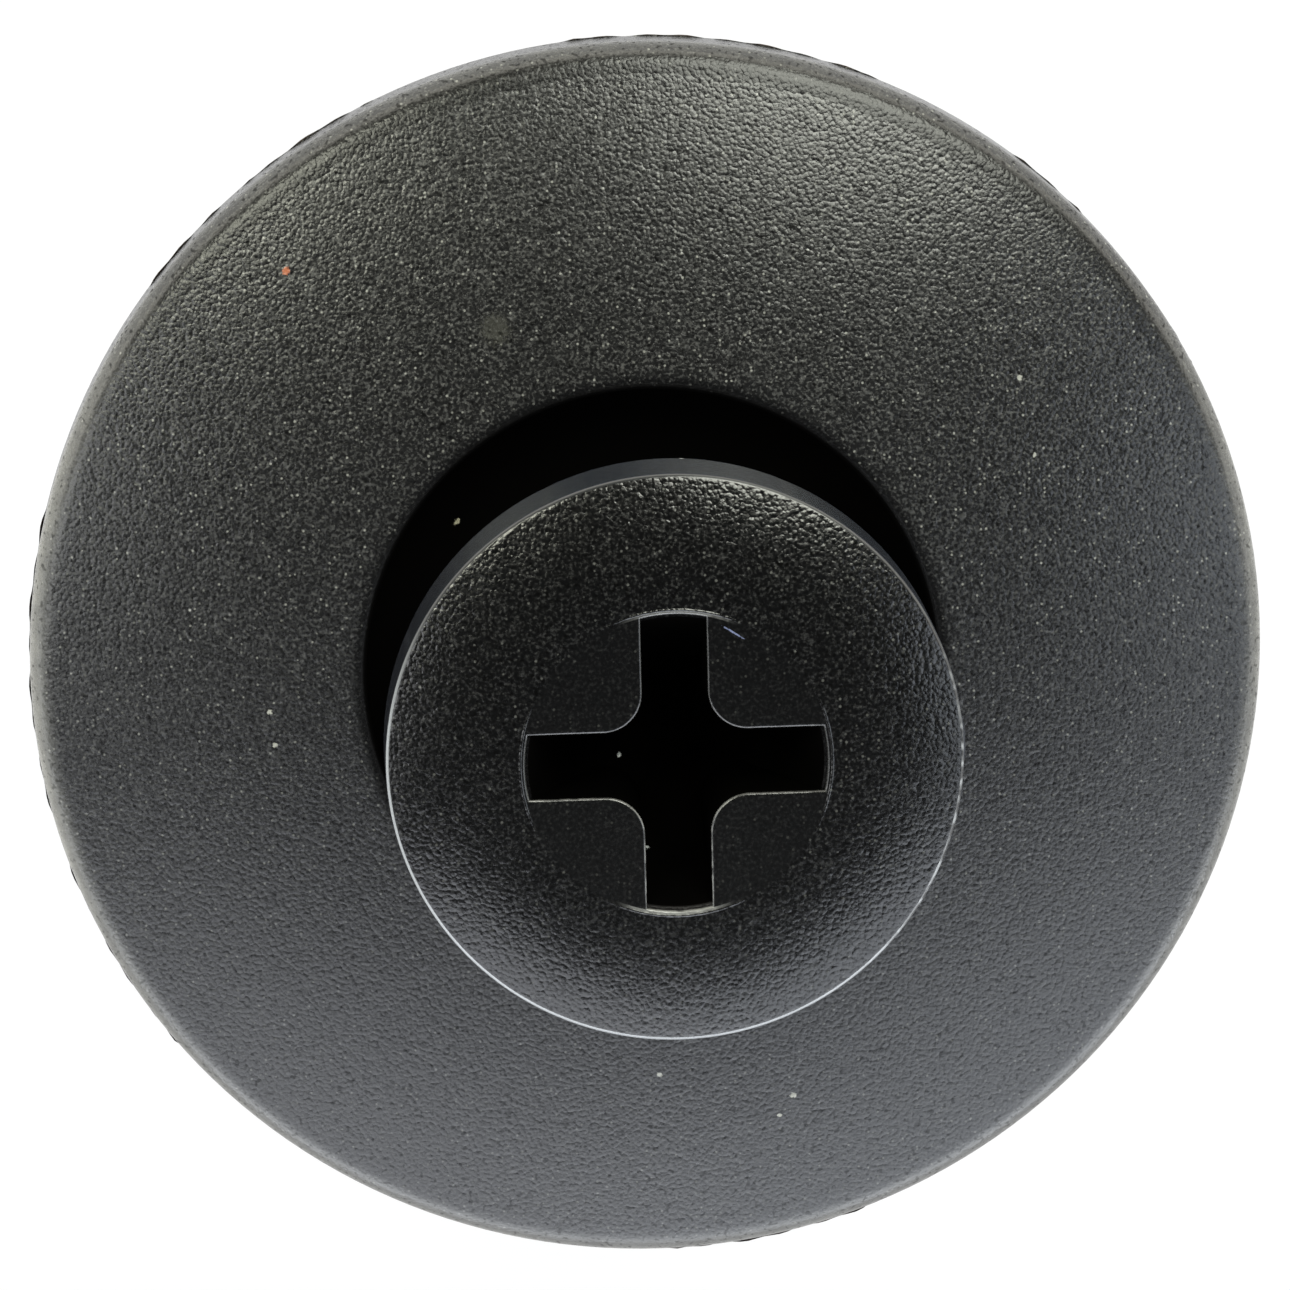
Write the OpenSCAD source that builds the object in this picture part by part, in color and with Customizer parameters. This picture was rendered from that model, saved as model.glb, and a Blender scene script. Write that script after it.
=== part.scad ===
/* [Flange] */
// Outside diameter of the round flange
flange_d = 20; // [18:0.5:22]
// Height of the rim where the dome would meet the upright wall
rim_h = 1.0; // [0.8:0.1:1.2]
// Radius of the domed face
dome_r = 34; // [28:1:40]
// Rounding between the dome and the upright rim
rim_round = 0.45; // [0.3:0.05:0.6]
// Rounding of the well's lip
lip_round = 0.2; // [0.1:0.05:0.3]
// Wall of the hollow shell behind the dome
shell_t = 1.2; // [1:0.1:1.4]
// Diameter of the solid hub behind the dome
hub_d = 11.4; // [11:0.1:12]

/* [Panel] */
// Hole in the panel that takes the shank
hole_d = 8; // [7.5:0.1:8.5]
// Radial clearance of the plain neck in the hole
panel_gap = 0.15; // [0.1:0.05:0.2]
// Length of the plain neck below the seat
grip = 3.2; // [2.5:0.1:4]

/* [Legs] */
// Depth of the leg tips below the seat
leg_len = 12.5; // [11.5:0.5:14]
// Outside diameter of the four feet
foot_d = 5.4; // [5:0.1:5.8]
// Width of the two crossing slots that part the legs
slot_w = 1.2; // [1:0.1:1.3]
// Depth of the slots' closed ends below the seat
slot_top = 2; // [1.8:0.1:2.6]

/* [Pin] */
// Diameter of the pan head
head_d = 8.8; // [8.2:0.1:9.2]
// Upright wall of the head, which is also the depth of its well
head_wall = 1.4; // [1.2:0.05:1.5]
// Radius of the crowned top
crown_r = 22; // [18:1:28]
// Diameter of the flat disc in the middle of the crown
flat_d = 4.8; // [4.7:0.1:5.2]
// Radial clearance of the head in its well
head_gap = 0.15; // [0.1:0.05:0.2]
// Diameter over the crests of the shank
shank_d = 3.7; // [3.4:0.1:4]
// Radial step of the barb that keeps the pin in
barb_step = 0.35; // [0.3:0.05:0.45]
// Length of the barb's straight part
barb_len = 1.0; // [0.8:0.1:1.4]
// Diameter of the blunt tip
tip_d = 2.4; // [2:0.1:2.8]
// Radial clearance of the pin in the grommet
pin_gap = 0.15; // [0.1:0.05:0.2]
// Distance the pin is pushed from the raised to the locked position
travel = 6.5; // [5.5:0.25:7]

/* [Cross recess] */
// Diameter over the wing tips
recess_d = 4.6; // [4.3:0.1:4.6]
// Width of each wing
wing_w = 1.0; // [0.9:0.05:1.1]
// Rounding between neighbouring wings
wing_round = 0.6; // [0.4:0.05:0.65]
// Depth below the flat disc
recess_h = 2.2; // [1.8:0.1:2.3]
// Taper of the wing tips from the axis, in degrees
recess_taper = 26.5; // [24:0.5:27]

/* [Hidden] */
$fn = 96;
// Overshoot of the cutting shapes
over = 1;
// Stop clearance under the throat when the pin is raised
stop_gap = 0.1;
// Thickness of the well's floor round the throat
floor_t = 1.25;
// Height of the pin's tip above the feet when locked
tip_inset = 0.3;
flange_r = flange_d / 2;
head_r = head_d / 2;
shank_r = shank_d / 2;
barb_r = shank_r + barb_step;
tip_r = tip_d / 2;
flat_r = flat_d / 2;
recess_r = recess_d / 2;
neck_r = hole_d / 2 - panel_gap;
bulge_r = hole_d / 2;
foot_r = foot_d / 2;
well_r = head_r + head_gap;
throat_r = shank_r + pin_gap;
bore_r = barb_r + pin_gap;
// Centre of the dome's circle on the axis
dome_z = rim_h - sqrt(pow(dome_r, 2) - pow(flange_r, 2));
// The well is as deep as the head's upright wall
well_top = dome_z + sqrt(pow(dome_r, 2) - pow(well_r, 2));
well_z = well_top - head_wall;
throat_z = well_z - floor_t;
// The pin in the raised position
head_z = well_z + travel;
crown_z = head_z + head_wall - sqrt(pow(crown_r, 2) - pow(head_r, 2));
flat_z = crown_z + sqrt(pow(crown_r, 2) - pow(flat_r, 2));
barb_z = throat_z - stop_gap;
taper_z = barb_z - barb_len;
tip_z = travel - leg_len + tip_inset;
// The pin in the locked position
taper_in_z = taper_z - travel;
tip_in_z = tip_z - travel;
// Radius of the bore at the feet, along the locked pin's taper
mouth_r = bore_r - (bore_r - tip_r - pin_gap) * (taper_in_z + leg_len) / (taper_in_z - tip_in_z);
bulge_top = grip + 1;
bulge_low = grip + 2.8;
recess_low_r = recess_r - recess_h * tan(recess_taper);

// What a rounding takes off an edge of the dome; side is 1 at the rim and -1 at the well
module edge_cut(x, r, side) {
    z = dome_z + sqrt(pow(dome_r - r, 2) - pow(x, 2));
    reach = (dome_r + over) / (dome_r - r);
    difference() {
        polygon([
            [x, z],
            [x * reach, dome_z + (z - dome_z) * reach],
            [x + side * (r + over), dome_z + (z - dome_z) * reach],
            [x + side * (r + over), z]
        ]);
        translate([x, z]) circle(r);
    }
}

// Half of the domed flange, with its hub and the hollow round it
module flange_face() {
    difference() {
        intersection() {
            translate([0, dome_z]) circle(dome_r);
            square([flange_r, well_top + over]);
        }
        intersection() {
            translate([0, dome_z]) circle(dome_r - shell_t);
            translate([hub_d / 2, -over]) square([flange_r, well_top + over]);
        }
        edge_cut(flange_r - rim_round, rim_round, 1);
        edge_cut(well_r + lip_round, lip_round, -1);
    }
}

// Half of the neck and legs, run up into the hub
module leg_face() {
    polygon([
        [0, well_z / 2],
        [neck_r, well_z / 2],
        [neck_r, -grip],
        [bulge_r, -bulge_top],
        [bulge_r, -bulge_low],
        [foot_r, -leg_len],
        [0, -leg_len]
    ]);
}

// Well, throat and bore that the pin runs in
module pin_way() {
    translate([0, well_z]) square([well_r, head_wall + over]);
    translate([0, throat_z - over]) square([throat_r, floor_t + 2 * over]);
    polygon([
        [0, throat_z],
        [bore_r, throat_z],
        [bore_r, taper_in_z],
        [mouth_r, -leg_len],
        [mouth_r, -leg_len - over],
        [0, -leg_len - over]
    ]);
}

// Slot with a round closed end, across the legs
module slot() {
    rotate([90, 0, 0])
        linear_extrude(height = flange_d, center = true) {
            translate([0, -slot_top - slot_w / 2]) circle(d = slot_w);
            translate([-slot_w / 2, -leg_len - over])
                square([slot_w, leg_len + over - slot_top - slot_w / 2]);
        }
}

// Flange, well, neck and four legs, one moulding
module grommet() {
    color([0.05, 0.05, 0.055])
        difference() {
            union() {
                rotate_extrude() flange_face();
                rotate_extrude() leg_face();
            }
            rotate_extrude() pin_way();
            slot();
            rotate([0, 0, 90]) slot();
        }
}

// Cross outline with rounded inner corners
module cross_face() {
    arm = wing_w / 2 + wing_round;
    square([recess_d + over, wing_w], center = true);
    square([wing_w, recess_d + over], center = true);
    difference() {
        square(2 * arm, center = true);
        for (x = [-arm, arm])
            for (y = [-arm, arm])
                translate([x, y]) circle(wing_round);
    }
}

// Cross recess with tapered wing tips
module recess() {
    lift = 0.2;
    intersection() {
        translate([0, 0, flat_z - recess_h])
            linear_extrude(height = recess_h + lift) cross_face();
        translate([0, 0, flat_z - recess_h])
            cylinder(
                h = recess_h + lift,
                r1 = recess_low_r,
                r2 = recess_r + lift * tan(recess_taper)
            );
    }
}

// Half of the crowned pan head
module head_face() {
    intersection() {
        translate([0, crown_z]) circle(crown_r);
        translate([0, head_z]) square([head_r, flat_z - head_z]);
    }
}

// Half of the shank, barb and tapered tip
module shank_face() {
    polygon([
        [0, head_z + head_wall / 2],
        [shank_r, head_z + head_wall / 2],
        [shank_r, barb_z],
        [barb_r, barb_z],
        [barb_r, taper_z],
        [tip_r, tip_z],
        [0, tip_z]
    ]);
}

// Pan head, shank, barb and tapered tip, one moulding, drawn raised
module pin() {
    color([0.06, 0.06, 0.065])
        difference() {
            union() {
                rotate_extrude() head_face();
                rotate_extrude() shank_face();
            }
            recess();
        }
}

grommet();
pin();
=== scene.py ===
"""Push-type retainer clip: a domed grommet with four split legs and a raised push pin."""

import math

import bmesh
import bpy
from mathutils import Matrix, Vector


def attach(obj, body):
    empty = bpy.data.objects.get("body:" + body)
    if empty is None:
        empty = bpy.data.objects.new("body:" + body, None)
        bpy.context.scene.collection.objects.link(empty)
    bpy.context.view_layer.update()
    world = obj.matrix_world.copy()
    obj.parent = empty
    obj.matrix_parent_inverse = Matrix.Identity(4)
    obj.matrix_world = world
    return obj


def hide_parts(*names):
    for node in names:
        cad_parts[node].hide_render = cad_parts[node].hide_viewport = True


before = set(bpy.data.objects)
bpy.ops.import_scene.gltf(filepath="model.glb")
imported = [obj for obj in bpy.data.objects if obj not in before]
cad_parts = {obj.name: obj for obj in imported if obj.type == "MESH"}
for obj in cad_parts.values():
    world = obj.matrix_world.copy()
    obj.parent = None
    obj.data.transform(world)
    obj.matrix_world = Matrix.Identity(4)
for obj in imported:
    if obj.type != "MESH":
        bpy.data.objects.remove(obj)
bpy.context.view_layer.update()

# Sizes in millimetres, as in the part's source
MM = 0.001
FLANGE_R, RIM_H, DOME_R, RIM_ROUND, LIP_ROUND = 10.0, 1.0, 34.0, 0.45, 0.2
SHELL_T, HUB_R, NECK_R, GRIP, BULGE_R = 1.2, 5.7, 3.85, 3.2, 4.0
LEG_LEN, FOOT_R, SLOT_W, SLOT_TOP = 12.5, 2.7, 1.2, 2.0
HEAD_R, HEAD_WALL, CROWN_R, FLAT_R, WELL_R = 4.4, 1.4, 22.0, 2.4, 4.55
SHANK_R, BARB_R, BARB_LEN, TIP_R, PIN_GAP = 1.85, 2.2, 1.0, 1.2, 0.15
RECESS_R, WING_W, WING_ROUND, RECESS_H, RECESS_LOW_R = 2.3, 1.0, 0.6, 2.2, 1.2
TRAVEL, STOP_GAP, FLOOR_T, TIP_INSET = 6.5, 0.1, 1.25, 0.3

# Heights and radii that follow from them
BULGE_TOP, BULGE_LOW = GRIP + 1, GRIP + 2.8
DOME_Z = RIM_H - math.sqrt(DOME_R**2 - FLANGE_R**2)
WELL_TOP = DOME_Z + math.sqrt(DOME_R**2 - WELL_R**2)
WELL_Z = WELL_TOP - HEAD_WALL
THROAT_R, THROAT_Z = SHANK_R + PIN_GAP, WELL_Z - FLOOR_T
BORE_R = BARB_R + PIN_GAP
HEAD_Z = WELL_Z + TRAVEL
HEAD_TOP = HEAD_Z + HEAD_WALL
BARB_Z = THROAT_Z - STOP_GAP
TIP_Z = TRAVEL - LEG_LEN + TIP_INSET
TAPER_IN = TRAVEL + BARB_LEN - BARB_Z
MOUTH_R = BORE_R - (BORE_R - TIP_R - PIN_GAP) * (LEG_LEN - TAPER_IN) / (
    LEG_LEN - TIP_INSET - TAPER_IN
)
CROWN_Z = HEAD_TOP - math.sqrt(CROWN_R**2 - HEAD_R**2)
FLAT_Z = CROWN_Z + math.sqrt(CROWN_R**2 - FLAT_R**2)

# Roundings of the edges, and the distance of the row of faces that holds a rounding in shape
EDGE_ROUND, GROMMET_ROUND, HEAD_ROUND, HEAD_FILLET = 0.035, 0.05, 0.056, 0.3
BARB_CORNER, BARB_ROUND, TIP_ROUND = 0.05, 0.08, 0.15
HOLD = 0.04

# The crown falls slowly at first, and its edge is cut off by so much inwards and down
CROWN_CURVE, CROWN_INSET = 1.85, 0.05
HEAD_EDGE = [(0.042, 0.004), (0.006, 0.032), (0, 0.042), (0, 0.08)]

# The ring round the recess reaches the part's full height, so the disc in it lies a little lower
RING_H, RING_OFF = 0.01, 0.01
DISC_Z = FLAT_Z - RING_H
RING_PROFILE = [(0, 0), (0.006, 0), (0.018, 1), (0.034, 1), (0.046, 0)]

# Degrees from the middle of a wing's tip up to which the ring is whole, and over which it fades
RING_FULL, RING_FADE = 14, 16

# The recess narrows by its draft, below a short upright stretch, and its floor ends in a point
RECESS_DRAFT, RECESS_UPRIGHT, RECESS_POINT = 0.04, 0.08, 0.25

# The row of faces beside the recess's rounded edge, along the wings and at their tips
WING_BORDER, TIP_BORDER = 0.03, 0.004

# The burr on the head's edge: its ends in degrees clockwise from the photograph's up,
# how far it is drawn out, and how far from the wall and from the top it starts
BURR_FROM, BURR_TO = 82, 89
BURR_OUT, BURR_IN, BURR_DOWN = 0.02, 0.02, 0.06

# The thread round the shank: its height, half its width at the foot and at the crest, its pitch,
# turns and run-out in turns, and its start above the barb and depth in the core
THREAD_H, THREAD_FOOT, THREAD_CREST = 0.35, 0.42, 0.12
THREAD_PITCH, THREAD_TURNS, THREAD_RUN_OUT = 1.7, 4.1, 0.35
THREAD_START, THREAD_SUNK = 0.5, 0.08

# The flash round the rim, on a parting line that rises towards the photograph's lower edge
FLASH_OUT, FLASH_ROOT, FLASH_SUNK, FLASH_RISE = 0.05, 0.2, 0.01, 0.33
FLASH_LOW, FLASH_TIP_TOP, FLASH_ROOT_TOP = 0.002, 0.03, 0.05

# Stretches of the rim with flash, in degrees clockwise from the photograph's up
FLASH_RUNS = [
    (306, 317),
    (319, 334),
    (352, 382),
    (396, 405),
    (416, 423),
    (436, 462),
    (518, 538),
    (589, 644),
]

# Steps in a quarter of the grommet, a turn of the thread and the flash
QUARTER_STEPS, TURN_STEPS, FLASH_STEPS = 48, 48, 480

# Width of the border of small faces along a slot
SLOT_BORDER = 0.07

# Degrees from which an edge is rounded, and up to which it is shaded smooth
BEVEL_ANGLE, SMOOTH_ANGLE = 35, 40

# Corners nearer to each other than this many metres count as one place
CLOSE = 1e-7

# The camera's lean from the vertical, its direction and its roll
TILT, AZIMUTH, ROLL = math.radians(11.9), math.radians(103.3), math.radians(14.96)

# Direction on the floor plane that is up in the photograph
UP_ANGLE = AZIMUTH - ROLL


# Drawing and shaping


def arc(x, z, r, start, end, steps):
    """Points along an arc about (x, z), angles in degrees from the outward direction."""
    turns = [math.radians(start + (end - start) * k / steps) for k in range(steps + 1)]
    return [(x + r * math.cos(a), z + r * math.sin(a)) for a in turns]


def trace(name, points, closed=False):
    """A new object with a chain of edges, drawn from one corner by extrusion, left in edit mode."""
    bpy.ops.object.select_all(action="DESELECT")
    bpy.ops.mesh.primitive_plane_add(size=MM)
    piece = bpy.context.active_object
    piece.name = piece.data.name = name
    bpy.ops.object.mode_set(mode="EDIT")
    bpy.ops.mesh.merge(type="CENTER")
    corners = [Vector(p) * MM for p in points]
    bpy.ops.transform.translate(value=corners[0])
    for here, there in zip(corners, corners[1:]):
        bpy.ops.mesh.extrude_vertices_move(
            TRANSFORM_OT_translate={"value": there - here}
        )
    if closed:
        ends = corners[0], corners[-1]
        pick(piece, lambda co: min((co - end).length for end in ends) < CLOSE)
        bpy.ops.mesh.edge_face_add()
    bpy.ops.mesh.select_all(action="SELECT")
    return piece


def section(points):
    """Points of a half section in the plane through the axis."""
    return [(r, 0, z) for r, z in points]


def pick(piece, test):
    """Selects the corners that pass a test on their place, and the edges between them."""
    mesh = bmesh.from_edit_mesh(piece.data)
    bpy.ops.mesh.select_all(action="DESELECT")
    for corner in mesh.verts:
        corner.select = test(corner.co)
    mesh.select_flush_mode()
    mesh.select_flush(True)
    bmesh.update_edit_mesh(piece.data)


def clean():
    """Closes the seams of the piece in edit mode and turns every face outwards."""
    bpy.ops.mesh.select_all(action="SELECT")
    bpy.ops.mesh.remove_doubles(threshold=2 * CLOSE)
    bpy.ops.mesh.normals_make_consistent(inside=False)


def apply_modifier(piece, kind, **settings):
    bpy.context.view_layer.objects.active = piece
    bpy.ops.object.modifier_add(type=kind)
    modifier = piece.modifiers[-1]
    for key, value in settings.items():
        setattr(modifier, key, value)
    bpy.ops.object.modifier_apply(modifier=modifier.name)


def join(piece, other):
    """Makes another object part of a piece."""
    bpy.ops.object.select_all(action="DESELECT")
    other.select_set(True)
    piece.select_set(True)
    bpy.context.view_layer.objects.active = piece
    bpy.ops.object.join()


def smooth(piece):
    bpy.ops.object.select_all(action="DESELECT")
    piece.select_set(True)
    bpy.context.view_layer.objects.active = piece
    bpy.ops.object.shade_smooth_by_angle(angle=math.radians(SMOOTH_ANGLE))


# The grommet


def slot_half_width(depth):
    """Half the width of a slot at a depth below the seat: round at its closed end."""
    from_centre = max(SLOT_TOP + SLOT_W / 2 - depth, 0)
    return math.sqrt(max((SLOT_W / 2) ** 2 - from_centre**2, 0))


def leg_outside(depth):
    """Outside radius of the neck and the legs at a depth below the seat."""
    if depth <= GRIP:
        return NECK_R
    if depth <= BULGE_TOP:
        return NECK_R + (BULGE_R - NECK_R) * (depth - GRIP) / (BULGE_TOP - GRIP)
    if depth <= BULGE_LOW:
        return BULGE_R
    return BULGE_R + (FOOT_R - BULGE_R) * (depth - BULGE_LOW) / (LEG_LEN - BULGE_LOW)


def leg_inside(depth):
    """Radius of the bore at a depth below the seat."""
    if depth <= TAPER_IN:
        return BORE_R
    return BORE_R + (MOUTH_R - BORE_R) * (depth - TAPER_IN) / (LEG_LEN - TAPER_IN)


def leg_depths():
    """The depths at which the legs have a ring of corners."""
    round_end = [
        SLOT_TOP + SLOT_W / 2 * (1 - math.cos(math.radians(a)))
        for a in range(0, 91, 10)
    ]
    return round_end + [GRIP, BULGE_TOP, BULGE_LOW, TAPER_IN, LEG_LEN]


def grommet_section():
    """The half section, from the throat's top edge over the dome and down round a leg."""
    lip_r = WELL_R + LIP_ROUND
    lip_z = DOME_Z + math.sqrt((DOME_R - LIP_ROUND) ** 2 - lip_r**2)
    edge_r = FLANGE_R - FLASH_OUT
    rim_r = edge_r - RIM_ROUND
    rim_z = DOME_Z + math.sqrt((DOME_R - RIM_ROUND) ** 2 - rim_r**2)
    lip_turn = math.degrees(math.atan2(lip_z - DOME_Z, lip_r))
    rim_turn = math.degrees(math.atan2(rim_z - DOME_Z, rim_r))
    inner = DOME_R - SHELL_T
    seat_turn = math.degrees(math.asin(-DOME_Z / inner))
    hub_turn = math.degrees(math.acos(HUB_R / inner))
    return (
        [(THROAT_R, WELL_Z), (WELL_R, WELL_Z)]
        + arc(lip_r, lip_z, LIP_ROUND, 180, lip_turn, 6)
        + arc(0, DOME_Z, DOME_R, lip_turn, rim_turn, 24)[1:-1]
        + arc(rim_r, rim_z, RIM_ROUND, rim_turn, 0, 8)
        + [(edge_r, 0)]
        + arc(0, DOME_Z, inner, seat_turn, hub_turn, 10)
        + [(HUB_R, 0), (NECK_R, 0)]
        + [(leg_outside(d), -d) for d in leg_depths()]
        + [(leg_inside(d), -d) for d in reversed(leg_depths())]
        + [(BORE_R, THROAT_Z), (THROAT_R, THROAT_Z)]
    )


def open_slots(piece):
    """Draws the corners of a quarter turn back from the slots on both sides of its leg."""
    mesh = bmesh.from_edit_mesh(piece.data)
    side = 1 if max(corner.co.y for corner in mesh.verts) > MM else -1
    first = 1 / QUARTER_STEPS
    for corner in mesh.verts:
        half = slot_half_width(-corner.co.z / MM)
        if not half:
            continue
        r = math.hypot(corner.co.x, corner.co.y)
        share = abs(math.atan2(corner.co.y, corner.co.x)) / (math.pi / 2)
        start = math.asin(half * MM / r)
        width = math.pi / 2 - 2 * start
        border = SLOT_BORDER * MM / r / width
        if share <= first:
            share = share / first * border
        elif share >= 1 - first:
            share = 1 - (1 - share) / first * border
        else:
            share = border + (share - first) / (1 - 2 * first) * (1 - 2 * border)
        turn = start + width * share
        corner.co.x, corner.co.y = r * math.cos(turn), side * r * math.sin(turn)
    bmesh.update_edit_mesh(piece.data)


def close_slot(piece, across):
    """Bridges the outside and the inside of a leg along one side of a slot."""

    def on_wall(co):
        half = slot_half_width(-co.z / MM) * MM
        return co.z < CLOSE - SLOT_TOP * MM and abs(abs(co[across]) - half) < CLOSE

    pick(piece, on_wall)
    mesh = bmesh.from_edit_mesh(piece.data)
    for joined in mesh.edges:
        foot = max(v.co.z for v in joined.verts) < CLOSE - LEG_LEN * MM
        if joined.select and foot:
            joined.select = False
    bmesh.update_edit_mesh(piece.data)
    bpy.ops.mesh.bridge_edge_loops()


def flash_reach(toward):
    """How far the flash stands out at a direction, 0 to 1: ragged, and none between its stretches."""
    inside = [
        min(toward + turn - start, end - toward - turn, 1)
        for start, end in FLASH_RUNS
        for turn in (0, 360)
    ]
    angle = math.radians(toward)
    ragged = 0.6 + 0.25 * math.sin(41 * angle) + 0.25 * math.sin(97 * angle + 2)
    thick = 0.8 - 0.2 * math.cos(angle)
    return max(max(inside), 0) * min(max(ragged, 0.1), 1) * thick


def make_flash():
    """The thin skin of nylon that squeezed out round the rim, where the mould's halves met askew."""
    root, edge_r = FLANGE_R - FLASH_ROOT, FLANGE_R - FLASH_OUT
    start = edge_r - FLASH_SUNK
    tooth = [
        (root, FLASH_LOW),
        (edge_r, FLASH_LOW),
        (edge_r, FLASH_TIP_TOP),
        (root, FLASH_ROOT_TOP),
    ]
    piece = trace("grommet_flash", section(tooth), closed=True)
    bpy.ops.mesh.spin(
        steps=FLASH_STEPS, angle=math.tau, center=(0, 0, 0), axis=(0, 0, 1)
    )
    clean()
    mesh = bmesh.from_edit_mesh(piece.data)
    for corner in mesh.verts:
        r = corner.co.xy.length
        if r > start * MM:
            toward = math.degrees(UP_ANGLE - math.atan2(corner.co.y, corner.co.x)) % 360
            reach = start + (FLANGE_R - start) * flash_reach(toward)
            corner.co.x *= reach * MM / r
            corner.co.y *= reach * MM / r
            corner.co.z += FLASH_RISE * (1 - math.cos(math.radians(toward))) * MM
    bmesh.update_edit_mesh(piece.data)
    bpy.ops.object.mode_set(mode="OBJECT")
    return piece


def make_grommet():
    """One leg's quarter, spun from its half section and copied round, and the flash."""
    piece = trace("grommet_moulding", section(grommet_section()), closed=True)
    bpy.ops.mesh.spin(
        steps=QUARTER_STEPS, angle=math.pi / 2, center=(0, 0, 0), axis=(0, 0, 1)
    )
    open_slots(piece)
    close_slot(piece, 0)
    close_slot(piece, 1)
    bpy.ops.mesh.select_all(action="SELECT")
    bpy.ops.mesh.spin(
        steps=3, dupli=True, angle=1.5 * math.pi, center=(0, 0, 0), axis=(0, 0, 1)
    )
    clean()
    bpy.ops.object.mode_set(mode="OBJECT")
    apply_modifier(
        piece,
        "BEVEL",
        width=GROMMET_ROUND * MM,
        segments=2,
        limit_method="ANGLE",
        angle_limit=math.radians(BEVEL_ANGLE),
        use_clamp_overlap=False,
    )
    join(piece, make_flash())
    smooth(piece)
    return piece


# The pin


def cross_outline(spread, tip_r, height):
    """The cross recess's outline at one height, from the middle of one wing tip round."""
    half = WING_W / 2 + spread
    turn = math.degrees(math.asin(half / tip_r))
    side = math.cos(math.radians(turn)) * tip_r
    root = min(WING_W / 2 + WING_ROUND, side - 2 * HOLD)
    quarter = (
        arc(0, 0, tip_r, 0, turn, 6)[:-1]
        + [(side + (root - side) * k / 4, half) for k in range(4)]
        + arc(root, root, root - half, 270, 180, 16)[:-1]
        + [(half, root + (side - root) * k / 4) for k in range(4)]
        + arc(0, 0, tip_r, 90 - turn, 90, 6)[:-1]
    )
    points = []
    for c, s in ((1, 0), (0, 1), (-1, 0), (0, -1)):
        points += [(c * x - s * y, s * x + c * y, height) for x, y in quarter]
    return points


def recess_outlines():
    """The outlines from beside the recess's rounded top edge down to its floor."""
    beside_tip = RECESS_R + EDGE_ROUND + TIP_BORDER
    outlines = [cross_outline(EDGE_ROUND + WING_BORDER, beside_tip, DISC_Z)]
    for spread, depth in arc(EDGE_ROUND, EDGE_ROUND, EDGE_ROUND, 270, 180, 3):
        outlines.append(cross_outline(spread, RECESS_R + spread, DISC_Z - depth))
    narrowing = [
        (0, RECESS_UPRIGHT),
        (RECESS_DRAFT / 2, RECESS_H / 2),
        (RECESS_DRAFT, RECESS_H),
    ]
    for draft, depth in narrowing:
        tip_r = RECESS_R + (RECESS_LOW_R - RECESS_R) * depth / RECESS_H
        outlines.append(cross_outline(-draft, tip_r, FLAT_Z - depth))
    return outlines


def head_section():
    """The half section of the head, from the ring that the core pin left to its underside."""
    ring_r = RECESS_R + EDGE_ROUND + RING_OFF
    crown_r = HEAD_R - CROWN_INSET
    crown = [
        (FLAT_R + (crown_r - FLAT_R) * t, DISC_Z - (DISC_Z - HEAD_TOP) * t**CROWN_CURVE)
        for t in [k / 12 for k in range(1, 12)] + [0.98, 1]
    ]
    return (
        [(ring_r + out, DISC_Z + up * RING_H) for out, up in RING_PROFILE]
        + [(FLAT_R, DISC_Z)]
        + crown
        + [(HEAD_R - inwards, HEAD_TOP - down) for inwards, down in HEAD_EDGE]
        + [(HEAD_R, HEAD_Z + HEAD_ROUND + HOLD)]
        + arc(HEAD_R - HEAD_ROUND, HEAD_Z + HEAD_ROUND, HEAD_ROUND, 0, -90, 4)
        + [(HEAD_R - HEAD_ROUND - HOLD, HEAD_Z)]
    )


def shank_section():
    """The half section from the head's underside down to the edge of the tip."""
    core = SHANK_R - THREAD_H
    fillet_r = core + HEAD_FILLET
    return (
        [(fillet_r + HOLD, HEAD_Z)]
        + arc(fillet_r, HEAD_Z - HEAD_FILLET, HEAD_FILLET, 90, 180, 6)
        + [(core, BARB_Z + BARB_CORNER), (core + BARB_CORNER, BARB_Z)]
        + arc(BARB_R - BARB_ROUND, BARB_Z - BARB_ROUND, BARB_ROUND, 90, 0, 4)
        + [(BARB_R, BARB_Z - BARB_LEN)]
        + arc(TIP_R - TIP_ROUND, TIP_Z + TIP_ROUND, TIP_ROUND, -18, -90, 4)
    )


def walk_ring(points):
    """Draws the selected ring on, by extrusion, through the radii and heights of a half section."""
    for (r, z), (next_r, next_z) in zip(points, points[1:]):
        bpy.ops.mesh.extrude_edges_move(
            TRANSFORM_OT_translate={"value": (0, 0, (next_z - z) * MM)}
        )
        scale = next_r / r
        bpy.ops.transform.resize(
            value=(scale, scale, 1), center_override=(0, 0, 0)
        )


def move_corners(piece, before, after):
    """Moves the selected corners from their places on one outline to those on the next."""
    mesh = bmesh.from_edit_mesh(piece.data)
    places = [(Vector(b) * MM, Vector(a) * MM) for b, a in zip(before, after)]
    for corner in mesh.verts:
        if corner.select:
            corner.co = min(places, key=lambda pair: (pair[0] - corner.co).length)[1]
    bmesh.update_edit_mesh(piece.data)


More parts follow.
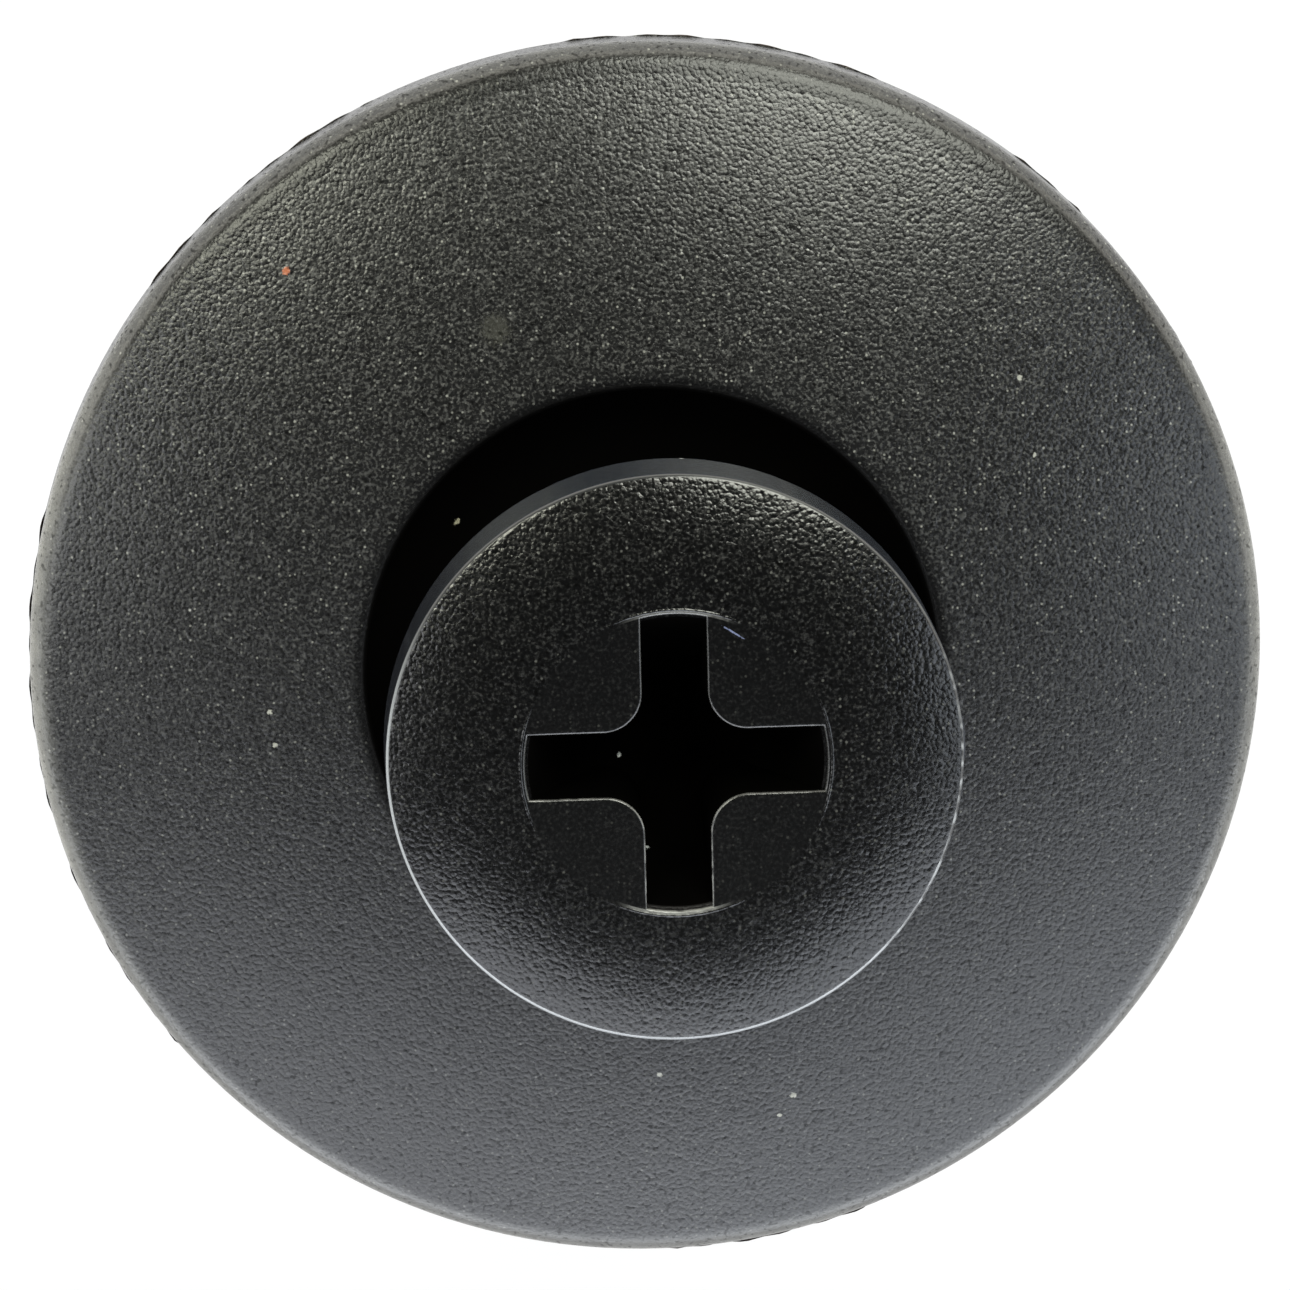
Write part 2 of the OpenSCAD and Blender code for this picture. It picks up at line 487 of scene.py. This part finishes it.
def fade_ring(piece):
    """Lets the ring round the recess sink away between the wing tips, and draws out the burr."""
    mesh = bmesh.from_edit_mesh(piece.data)
    for corner in mesh.verts:
        turn = math.degrees(math.atan2(corner.co.y, corner.co.x))
        if corner.co.z > DISC_Z * MM + CLOSE:
            off_tip = abs((turn + 45) % 90 - 45)
            fade = min(max((off_tip - RING_FULL) / RING_FADE, 0), 1)
            corner.co.z -= fade * (corner.co.z - DISC_Z * MM)
        toward = (math.degrees(UP_ANGLE) - turn) % 360
        on_edge = (
            corner.co.xy.length > (HEAD_R - BURR_IN) * MM
            and abs(corner.co.z - HEAD_TOP * MM) < BURR_DOWN * MM
        )
        if on_edge and BURR_FROM < toward < BURR_TO:
            corner.co.x *= 1 + BURR_OUT / HEAD_R
            corner.co.y *= 1 + BURR_OUT / HEAD_R
    bmesh.update_edit_mesh(piece.data)


def make_thread():
    """The coarse thread round the shank: one ridge drawn out by a screw and run out at both ends."""
    low, core = BARB_Z + THREAD_START, SHANK_R - THREAD_H - THREAD_SUNK
    tooth = [
        (core, low - THREAD_FOOT),
        (SHANK_R, low - THREAD_CREST),
        (SHANK_R, low + THREAD_CREST),
        (core, low + THREAD_FOOT),
    ]
    piece = trace("pin_thread", section(tooth), closed=True)
    bpy.ops.object.mode_set(mode="OBJECT")
    steps = int(THREAD_TURNS * TURN_STEPS)
    apply_modifier(
        piece,
        "SCREW",
        axis="Z",
        angle=THREAD_TURNS * math.tau,
        screw_offset=THREAD_TURNS * THREAD_PITCH * MM,
        steps=steps,
        render_steps=steps,
    )
    for k, corner in enumerate(piece.data.vertices):
        along = (k // len(tooth)) / (steps - 1) * THREAD_TURNS
        fade = min(along, THREAD_TURNS - along, THREAD_RUN_OUT) / THREAD_RUN_OUT
        r = math.hypot(corner.co.x, corner.co.y)
        drawn_in = (core * MM + (r - core * MM) * fade) / r
        corner.co.x *= drawn_in
        corner.co.y *= drawn_in
    return piece


def make_pin():
    """The pin, drawn from the recess's outline out over the head to the tip, then down the recess."""
    thread = make_thread()
    outlines = recess_outlines()
    piece = trace("pin_moulding", outlines[0], closed=True)
    rim = Vector(outlines[0][0]) * MM
    bpy.ops.mesh.extrude_edges_move()
    bpy.ops.transform.tosphere(value=1, center_override=(0, 0, rim.z))
    mesh = bmesh.from_edit_mesh(piece.data)
    round_r = max(v.co.xy.length for v in mesh.verts if v.select) / MM
    profile = head_section() + shank_section()
    scale = profile[0][0] / round_r
    bpy.ops.transform.resize(value=(scale, scale, 1), center_override=(0, 0, rim.z))
    walk_ring(profile)
    bpy.ops.mesh.edge_face_add()
    pick(
        piece,
        lambda co: abs(co.z - rim.z) < CLOSE and co.xy.length < rim.x + CLOSE,
    )
    for before, after in zip(outlines, outlines[1:]):
        bpy.ops.mesh.extrude_edges_move()
        move_corners(piece, before, after)
    bpy.ops.mesh.edge_face_add()
    bpy.ops.mesh.poke(offset=-RECESS_POINT * MM)
    clean()
    fade_ring(piece)
    bpy.ops.object.mode_set(mode="OBJECT")
    join(piece, thread)
    smooth(piece)
    return piece


# Finishes

# The layers of the grain and of the glints and sparkles painted onto it, as shares of its scale
GLINT_SCALE, PIT_SCALE, LUMP_SCALE, SPARK_SCALE = 1.25, 0.9, 0.95, 0.8

# Where pits end and painted glints begin on their patterns, and how rare the painted sparkles and the
# dust are, 0 to 1
PIT_FULL, PIT_END, GLINT_START, GLINT_FULL = 0.22, 0.38, 0.48, 0.78
SPARK_RARE, DUST_RARE = 0.7, 0.6

# The scale of the dust and of the marks' ragged edges over a metre, and how the nylon shines
DUST_SCALE, RAGGED_SCALE = 1100, 25000
NYLON_IOR, SMOOTH_ROUGH = 1.7, 0.17
# The flat black painted in as shade, which also darkens the grain's pits
PIT_AND_SHADE_BLACK = (0.0012, 0.0011, 0.001)

# Colours of the painted light on the rim, the crown's edge, the recess's lip and the ring, of the
# flash and of the painted sheen on the head's wall, and of the dust and the marks
RIM_PAINTED_LIGHT, EDGE_PAINTED_HIGHLIGHT = (0.42, 0.41, 0.37), (0.24, 0.25, 0.26)
LIP_PAINTED_HIGHLIGHT, RING_PAINTED_HIGHLIGHT = (0.25, 0.25, 0.24), (0.22, 0.22, 0.21)
FLASH_BROWN, WALL_PAINTED_SHEEN = (0.045, 0.028, 0.02), (0.013, 0.018, 0.03)
GRAIN_DUST, WELL_LINT, RECESS_LINT = (0.3, 0.3, 0.28), (0.32, 0.3, 0.2), (0.4, 0.42, 0.42)
SMUDGED, CHIPPED, RUSTY = (0.03, 0.03, 0.025), (0.3, 0.3, 0.26), (0.35, 0.11, 0.05)
CURL_BLUE, DOT_WHITE = (0.14, 0.16, 0.26), (0.7, 0.7, 0.7)


class Wire:
    """A socket in a material, so that shader maths is written as arithmetic."""

    def __init__(self, tree, socket):
        self.tree, self.socket = tree, socket

    def node(self, kind, out=0, settings=None, **sockets):
        """Adds a node: its settings first, then the values or links of its sockets."""
        made = self.tree.nodes.new(kind)
        for key, value in (settings or {}).items():
            setattr(made, key, value)
        for key, value in sockets.items():
            name = key.replace("_", " ")
            target = made.inputs[int(key[1:])] if key[1:].isdigit() else made.inputs[name]
            if isinstance(value, Wire):
                self.tree.links.new(value.socket, target)
            else:
                target.default_value = value
        return Wire(self.tree, made.outputs[out])

    def math(self, operation, *values):
        sockets = {f"i{k}": v for k, v in enumerate(values)}
        return self.node("ShaderNodeMath", settings={"operation": operation}, **sockets)

    def __add__(self, other):
        return self.math("ADD", self, other)

    def __sub__(self, other):
        return self.math("SUBTRACT", self, other)

    def __rsub__(self, other):
        return self.math("SUBTRACT", other, self)

    def __mul__(self, other):
        return self.math("MULTIPLY", self, other)

    __radd__, __rmul__ = __add__, __mul__

    def __or__(self, other):
        """The larger of two masks."""
        return self.math("MAXIMUM", self, other)

    def size(self):
        return self.math("ABSOLUTE", self)

    def root(self):
        return self.math("SQRT", self)

    def step(self, low, high):
        """0 below low, 1 above high, smooth between."""
        return self.node(
            "ShaderNodeMapRange",
            settings={"interpolation_type": "SMOOTHSTEP"},
            i0=self,
            i1=low,
            i2=high,
        )

    def band(self, start, full, fade, end):
        """1 from full to fade, 0 before start and past end."""
        return self.step(start, full) * (1 - self.step(fade, end))


def new_material(name):
    material = bpy.data.materials.new(name)
    material.use_nodes = True
    tree = material.node_tree
    shader = tree.nodes["Principled BSDF"]
    place = tree.nodes.new("ShaderNodeTexCoord").outputs["Object"]
    return material, tree, shader, Wire(tree, place)


def noise(place, scale, detail):
    return place.node("ShaderNodeTexNoise", Vector=place, Scale=scale, Detail=detail)


def tinted(place, mask, shade, colour):
    """A colour laid over another where a mask says."""
    below = shade if isinstance(shade, Wire) else (*shade, 1)
    return place.node(
        "ShaderNodeMix",
        out=2,
        settings={"data_type": "RGBA"},
        i0=mask,
        i6=below,
        i7=(*colour, 1),
    )


def dots(place, scale, rare):
    """Small pale grains, one in some of the cells of a pattern: the rarer, the nearer to 1."""
    from_centre = place.node("ShaderNodeTexVoronoi", Vector=place, Scale=scale)
    chance = place.node("ShaderNodeTexVoronoi", out=1, Vector=place, Scale=scale)
    chosen = place.node("ShaderNodeSeparateColor", Color=chance).step(rare, 1)
    reach = min(0.35, 0.03 * MM * scale)
    return (1 - from_centre.step(0.4 * reach, reach)) * chosen


def spot(place, toward, r, z, size, stretch=1, turn=0):
    """A ragged mark at a place on a face, toward in degrees clockwise from the photograph's up.

    stretch draws it out along a line, turned by so many degrees from the line to the axis.
    """
    way = UP_ANGLE - math.radians(toward)
    local = place.node(
        "ShaderNodeMapping",
        settings={"vector_type": "TEXTURE"},
        Vector=place,
        Location=Vector((r * math.cos(way), r * math.sin(way), z)) * MM,
        Rotation=(0, 0, way + math.radians(turn)),
        Scale=Vector((stretch, 1, 1)) * size * MM,
    )
    away = local.node(
        "ShaderNodeVectorMath", out=1, settings={"operation": "LENGTH"}, i0=local
    )
    ragged = away + 1.4 * (noise(place, RAGGED_SCALE, 1) - 0.5)
    return 1 - ragged.step(0.5, 1)


def spots(place, marks):
    """A mask of several marks."""
    mask = spot(place, *marks[0])
    for mark in marks[1:]:
        mask = mask | spot(place, *mark)
    return mask


def on_dome(toward, r, size):
    """A mark on the dome, at a distance from the axis."""
    return toward, r, DOME_Z + math.sqrt(DOME_R**2 - r**2), size


# Places of the marks: direction clockwise from the photograph's up, distance from the axis,
# height and size, and for some how far and which way they are drawn out
DOME_RUST = on_dome(317.6, 8.63, 0.075)
DOME_SMUDGE = on_dome(335.5, 6.05, 0.3)
DOME_CHIPS = [
    on_dome(178.5, 6.73, 0.05),
    on_dome(161.7, 7.51, 0.06),
    on_dome(164.0, 7.78, 0.045),
    on_dome(51.6, 7.5, 0.05),
    on_dome(60.8, 7.02, 0.045),
    on_dome(263.8, 6.14, 0.05),
    on_dome(258.7, 6.14, 0.05),
]
WELL_DUST = [(305.5, 3.79, WELL_Z, 0.045, 1.8, 80)]
RECESS_DUST = [
    (244.7, 0.84, 6.73, 0.04, 1.7, 60),
    (231.9, 1.27, 6.95, 0.045, 1.5, 30),
    (193.1, 1.64, 7.69, 0.045, 1.5, 0),
]
DISC_CURL = (22.5, 2.19, DISC_Z, 0.017, 13, 81)
WALL_DOT = (1.8, HEAD_R, HEAD_Z + 0.05, 0.06)


def black_nylon(name, grain, depth, gloss, pale, zones):
    """Black moulded nylon with a spark-eroded grain, glints painted into its colour, and the zones
    that differ from it.

    grain is its scale over a metre, depth its height in millimetres, gloss its roughness and pale
    how light the black is. zones gives the part that the mould left smooth, the part painted dark as
    shade, and the tints, among them painted highlights and a painted sheen, each a mask and a colour.
    """
    material, tree, shader, place = new_material(name)
    x, y, z = (
        place.node("ShaderNodeSeparateXYZ", out=k, Vector=place) * (1 / MM)
        for k in range(3)
    )
    r = (x * x + y * y).root()
    along = x * math.cos(UP_ANGLE) + y * math.sin(UP_ANGLE)
    across = x * math.sin(UP_ANGLE) - y * math.cos(UP_ANGLE)
    calm, painted_shade, tints = zones(place, r, z, along, across)
    grained = 1 - calm

    # The half that is up in the photograph, where the lamps glint: there the grain is less rough, and
    # its painted glints, painted sparkles and dark pits are stronger
    glint_lit_half = along.step(-6, 6)
    glint = noise(place, GLINT_SCALE * grain, 2)
    pits = 1 - noise(place, PIT_SCALE * grain, 0).step(PIT_FULL, PIT_END)
    lump = place.node("ShaderNodeTexVoronoi", Vector=place, Scale=LUMP_SCALE * grain)
    height = 0.6 * noise(place, grain, 2) - 0.7 * lump * lump
    bump = place.node(
        "ShaderNodeBump", Height=height * grained, Strength=1.0, Distance=depth * MM
    )
    tree.links.new(bump.socket, shader.inputs["Normal"])
    rough = gloss + 0.1 * (1 - glint_lit_half) + 0.35 * (glint - 0.5) * grained
    rough = rough - (gloss - SMOOTH_ROUGH) * calm
    tree.links.new(rough.socket, shader.inputs["Roughness"])

    # Laid on in turn: the black ground, glints painted onto the grain, painted sparkles, pale dust
    # and the zones' tints, among them painted highlights and a painted sheen
    ground, light, spark = (
        (pale * times, pale * times, pale * times * blue)
        for times, blue in ((1, 1.05), (10, 0.95), (40, 0.9))
    )
    painted_glints = glint.step(GLINT_START, GLINT_FULL) * (0.4 + 0.6 * glint_lit_half) * grained
    painted_sparkles = dots(place, SPARK_SCALE * grain, SPARK_RARE) * (0.3 + 0.7 * glint_lit_half) * grained
    shade = tinted(place, painted_glints, ground, light)
    shade = tinted(place, painted_sparkles, shade, spark)
    shade = tinted(place, dots(place, DUST_SCALE, DUST_RARE), shade, GRAIN_DUST)
    for mask, colour in tints:
        shade = tinted(place, mask, shade, colour)
    tree.links.new(shade.socket, shader.inputs["Base Color"])
    shader.inputs["IOR"].default_value = NYLON_IOR
    # Mixed towards that flat black: painted shade where the zones say, and the grain's dark pits,
    # stronger on the half up in the photograph
    mixed = place.node(
        "ShaderNodeMixShader",
        i0=painted_shade | (0.36 + 0.24 * glint_lit_half) * pits * grained,
        i1=Wire(tree, shader.outputs[0]),
        i2=place.node("ShaderNodeBsdfDiffuse", Color=(*PIT_AND_SHADE_BLACK, 1)),
    )
    tree.links.new(mixed.socket, tree.nodes["Material Output"].inputs["Surface"])
    return material


def grommet_zones(place, r, z, along, across):
    """The smooth well painted dark as shade, a painted light on the rim and a painted dark line
    inside it, the flash and the marks.
    """
    inwards = FLANGE_R - r
    above, below = along.step(1.5, 7), 1 - along.step(-8, -2)
    right = across.step(2, 8)
    # The well and the dome round its lip are smooth, and painted dark as shade except where dust lies
    well = (1 - (r - WELL_R).step(-0.01, 0.27)) * z.step(0, 0.2)
    dust = spots(place, WELL_DUST)
    flash = 1 - inwards.step(0.035, 0.045)
    # A painted dark line inside the rim, on the half that is up in the photograph
    painted_dark_line = inwards.band(0.18, 0.25, 0.48, 0.55) * above
    # A painted light on the rim, growing towards its edge, ragged by a noise, weaker above, below and
    # on the right
    rim = ((0.48 - inwards) * (1 / 0.44) | 0) * z.step(0.5, 0.7)
    rim_painted_light = rim * rim * (0.25 + 0.6 * noise(place, 3000, 2))
    rim_painted_light = rim_painted_light * (1 - 0.75 * above - 0.5 * below) * (1 - 0.3 * right)
    tints = [
        (rim_painted_light, RIM_PAINTED_LIGHT),
        (spot(place, *DOME_SMUDGE), SMUDGED),
        (spots(place, DOME_CHIPS), CHIPPED),
        (spot(place, *DOME_RUST), RUSTY),
        (dust, WELL_LINT),
        (flash, FLASH_BROWN),
    ]
    # Smooth in the well; painted shade in the well and along the painted dark line
    return well, well * (1 - dust) | 0.4 * painted_dark_line, tints


def pin_zones(place, r, z, along, across):
    """The smooth disc, the recess painted dark as shade, the wall with a painted bluish sheen and
    painted shade, and painted highlights on the ring, the recess's lip and the crown's edge.
    """
    outwards, sunk, inwards = r - RECESS_R, DISC_Z - z, HEAD_R - r
    # below places the painted highlight on the crown's edge, left the darker painted shade on the
    # wall
    below, left = 1 - along.step(0, 2.5), 1 - across.step(-4.2, -2.6)
    disc = 1 - outwards.step(0.04, 0.08)
    taper = (RECESS_R - RECESS_LOW_R) / RECESS_H
    hollow = 1 - (outwards + taper * (FLAT_Z - z)).step(0.02, 0.04)
    hollow = hollow * sunk.step(0.04, 0.12)
    dust = spots(place, RECESS_DUST)

    # The ring gets a painted highlight at the upper and the lower wing, and the recess's lip a
    # painted highlight mostly on its lower half
    ring = outwards.band(0.005, 0.02, 0.045, 0.06) * (1 - sunk.step(0.03, 0.04))
    ring = ring * (1 - across.size().step(0.4, 0.95)) * (1 - 0.45 * along.step(-1, 1))
    ring = ring * (0.3 + noise(place, 9000, 1))
    patches = (1 - along.step(-0.9, -0.3)) * noise(place, 4000, 1).step(0.4, 0.6)
    lip = disc * sunk.band(0.002, 0.008, 0.03, 0.045) * (0.12 + 0.6 * patches)

    # The crown's edge gets a painted highlight, least towards the photograph's top and broken into
    # bits on its right
    wall = 1 - inwards.step(0.002, 0.01)
    edge = 1 - inwards.step(0.045, 0.055)
    white = inwards.band(0.002, 0.01, 0.04, 0.05) * (1 - (HEAD_TOP - z).step(0.04, 0.06))
    highlight_breaks = 1 - across.step(2.5, 4) * noise(place, 5000, 1).step(0.35, 0.6)
    tints = [
        # A painted bluish sheen on the head's wall
        (wall, WALL_PAINTED_SHEEN),
        # A painted highlight along the crown's edge
        (white * (0.1 + 0.9 * below) * highlight_breaks, EDGE_PAINTED_HIGHLIGHT),
        (ring, RING_PAINTED_HIGHLIGHT),
        (lip, LIP_PAINTED_HIGHLIGHT),
        (spot(place, *DISC_CURL), CURL_BLUE),
        (dust, RECESS_LINT),
        (spot(place, *WALL_DOT), DOT_WHITE),
    ]
    calm = (0.6 * disc + 0.4 * hollow) | edge - 0.3 * wall
    # Painted shade in the recess except where dust lies, and on the head's wall, darker on its left
    painted_shade = hollow * (1 - dust) | wall * (0.45 + 0.25 * left)
    return calm, painted_shade, tints


# Floor, lights and camera

# The floor's drop below the feet in millimetres, its radius in metres, and how it looks
FLOOR_DROP, FLOOR_R = 0.02, 1.5
FLOOR_GREY, FLOOR_ROUGH, FLOOR_GLOW = 0.9, 0.8, 0.85

# The sky: where its band ends above the horizon, and the brightness of the room and of the band
BAND_FULL, BAND_END = 0.2, 0.45
ROOM_LIGHT, BAND_LIGHT, BAND_NEAR_MORE = 0.02, 2.1, 1.1
SKY_WARM, SKY_COOL, WHITE = (1.0, 0.97, 0.87), (0.95, 0.98, 1.0), (1, 1, 1)

# Distance of the lights in metres
LAMP_DISTANCE = 0.6

# Soft lights: direction clockwise from the photograph's up, degrees off the vertical,
# half width in degrees, brightness and colour
LAMPS = {
    "warm_right": (25, 44, 18, 8.1, (0.98, 1.0, 0.89)),
    "warm_left": (314, 42, 12, 8.6, (0.98, 0.99, 0.83)),
    "cool_right": (146, 64, 28, 2.45, (0.87, 0.92, 1.0)),
    "cool_left": (202, 62, 28, 2.45, (0.9, 0.93, 1.0)),
    "side_left": (272, 47, 14, 2.6, (0.96, 0.98, 1.0)),
    "side_right": (92, 48, 14, 1.85, (0.84, 0.91, 1.0)),
}


def make_floor():
    """A wide pale floor under the legs, white to the eye and with a faint shadow."""
    bpy.ops.object.select_all(action="DESELECT")
    bpy.ops.mesh.primitive_circle_add(
        vertices=96,
        radius=FLOOR_R,
        fill_type="NGON",
        location=(0, 0, -(LEG_LEN + FLOOR_DROP) * MM),
    )
    floor = bpy.context.active_object
    floor.name = "floor"
    material, tree, shader, place = new_material("pale_floor")
    shader.inputs["Base Color"].default_value = (FLOOR_GREY, FLOOR_GREY, FLOOR_GREY, 1)
    shader.inputs["Roughness"].default_value = FLOOR_ROUGH
    seen = place.node("ShaderNodeLightPath")
    mirrored = place.node("ShaderNodeLightPath", out=3)
    mixed = place.node(
        "ShaderNodeMixShader",
        i0=(FLOOR_GLOW * seen) | mirrored,
        i1=Wire(tree, shader.outputs[0]),
        i2=place.node("ShaderNodeEmission", Color=(*WHITE, 1), Strength=1.0),
    )
    tree.links.new(mixed.socket, tree.nodes["Material Output"].inputs["Surface"])
    floor.data.materials.append(material)


def place_light(name, toward, off_vertical, spread, brightness, colour):
    """A round soft light that looks at the flange, spread degrees wide on each side."""
    turn = UP_ANGLE - math.radians(toward)
    lean = math.radians(off_vertical)
    way = Vector(
        (
            math.sin(lean) * math.cos(turn),
            math.sin(lean) * math.sin(turn),
            math.cos(lean),
        )
    )
    data = bpy.data.lights.new(name, "AREA")
    data.shape = "DISK"
    radius = LAMP_DISTANCE * math.tan(math.radians(spread))
    data.size = 2 * radius
    data.energy = brightness * math.pi * math.pi * radius**2
    data.color = colour
    lamp = bpy.data.objects.new(name, data)
    lamp.matrix_world = Matrix.Translation(way * LAMP_DISTANCE) @ way.to_track_quat(
        "Z", "Y"
    ).to_matrix().to_4x4()
    bpy.context.scene.collection.objects.link(lamp)


def make_sky():
    """A dark room, white to the eye, with a pale band round it that is cooler and brighter nearby."""
    world = bpy.data.worlds.new("studio")
    bpy.context.scene.world = world
    world.use_nodes = True
    tree = world.node_tree
    sky = tree.nodes["Background"]
    way = Wire(tree, tree.nodes.new("ShaderNodeTexCoord").outputs["Generated"])
    x, y, z = (way.node("ShaderNodeSeparateXYZ", out=k, Vector=way) for k in range(3))
    near = -math.cos(UP_ANGLE) * x - math.sin(UP_ANGLE) * y
    horizon = 1 - z.step(BAND_FULL, BAND_END)
    strength = ROOM_LIGHT + horizon * (BAND_LIGHT + BAND_NEAR_MORE * near.step(0.1, 0.7))
    seen = way.node("ShaderNodeLightPath")
    strength = strength + seen * (1 - strength)
    tree.links.new(strength.socket, sky.inputs["Strength"])
    colour = tinted(way, near.step(-0.6, 0.3), SKY_WARM, SKY_COOL)
    colour = tinted(way, seen, colour, WHITE)
    tree.links.new(colour.socket, sky.inputs["Color"])


def make_camera():
    """The photograph's view: a long lens, high over the flange and a little to one side."""
    distance, sensor, lens_px, frame_px = 0.130, 36.0, 8005.0, 1290.0
    rise = math.pi / 2 - TILT
    back = Vector(
        (
            math.cos(rise) * math.cos(AZIMUTH),
            math.cos(rise) * math.sin(AZIMUTH),
            math.sin(rise),
        )
    )
    level = Vector((math.cos(AZIMUTH), math.sin(AZIMUTH), 0))
    up = (level - level.dot(back) * back).normalized()
    right = up.cross(back)
    up, right = (
        math.cos(ROLL) * up + math.sin(ROLL) * right,
        math.cos(ROLL) * right - math.sin(ROLL) * up,
    )
    data = bpy.data.cameras.new("camera")
    data.sensor_width = sensor
    data.lens = sensor * lens_px / frame_px
    data.clip_start, data.clip_end = 0.001, 10.0
    camera = bpy.data.objects.new("camera", data)
    camera.matrix_world = Matrix.Translation(back * distance) @ Matrix(
        (right, up, back)
    ).transposed().to_4x4()
    bpy.context.scene.collection.objects.link(camera)
    bpy.context.scene.camera = camera


grommet = make_grommet()
grommet.data.materials.clear()
grommet.data.materials.append(
    black_nylon(
        "grommet_nylon", grain=15500, depth=0.007, gloss=0.25, pale=0.006, zones=grommet_zones
    )
)
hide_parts("grommet")
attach(grommet, "grommet")

pin = make_pin()
pin.data.materials.clear()
pin.data.materials.append(
    black_nylon(
        "pin_nylon", grain=15000, depth=0.0074, gloss=0.17, pale=0.0024, zones=pin_zones
    )
)
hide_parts("pin")
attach(pin, "pin")

make_floor()
for lamp_name, lamp in LAMPS.items():
    place_light(lamp_name, *lamp)
make_sky()
make_camera()
bpy.context.scene.view_settings.view_transform = "Standard"
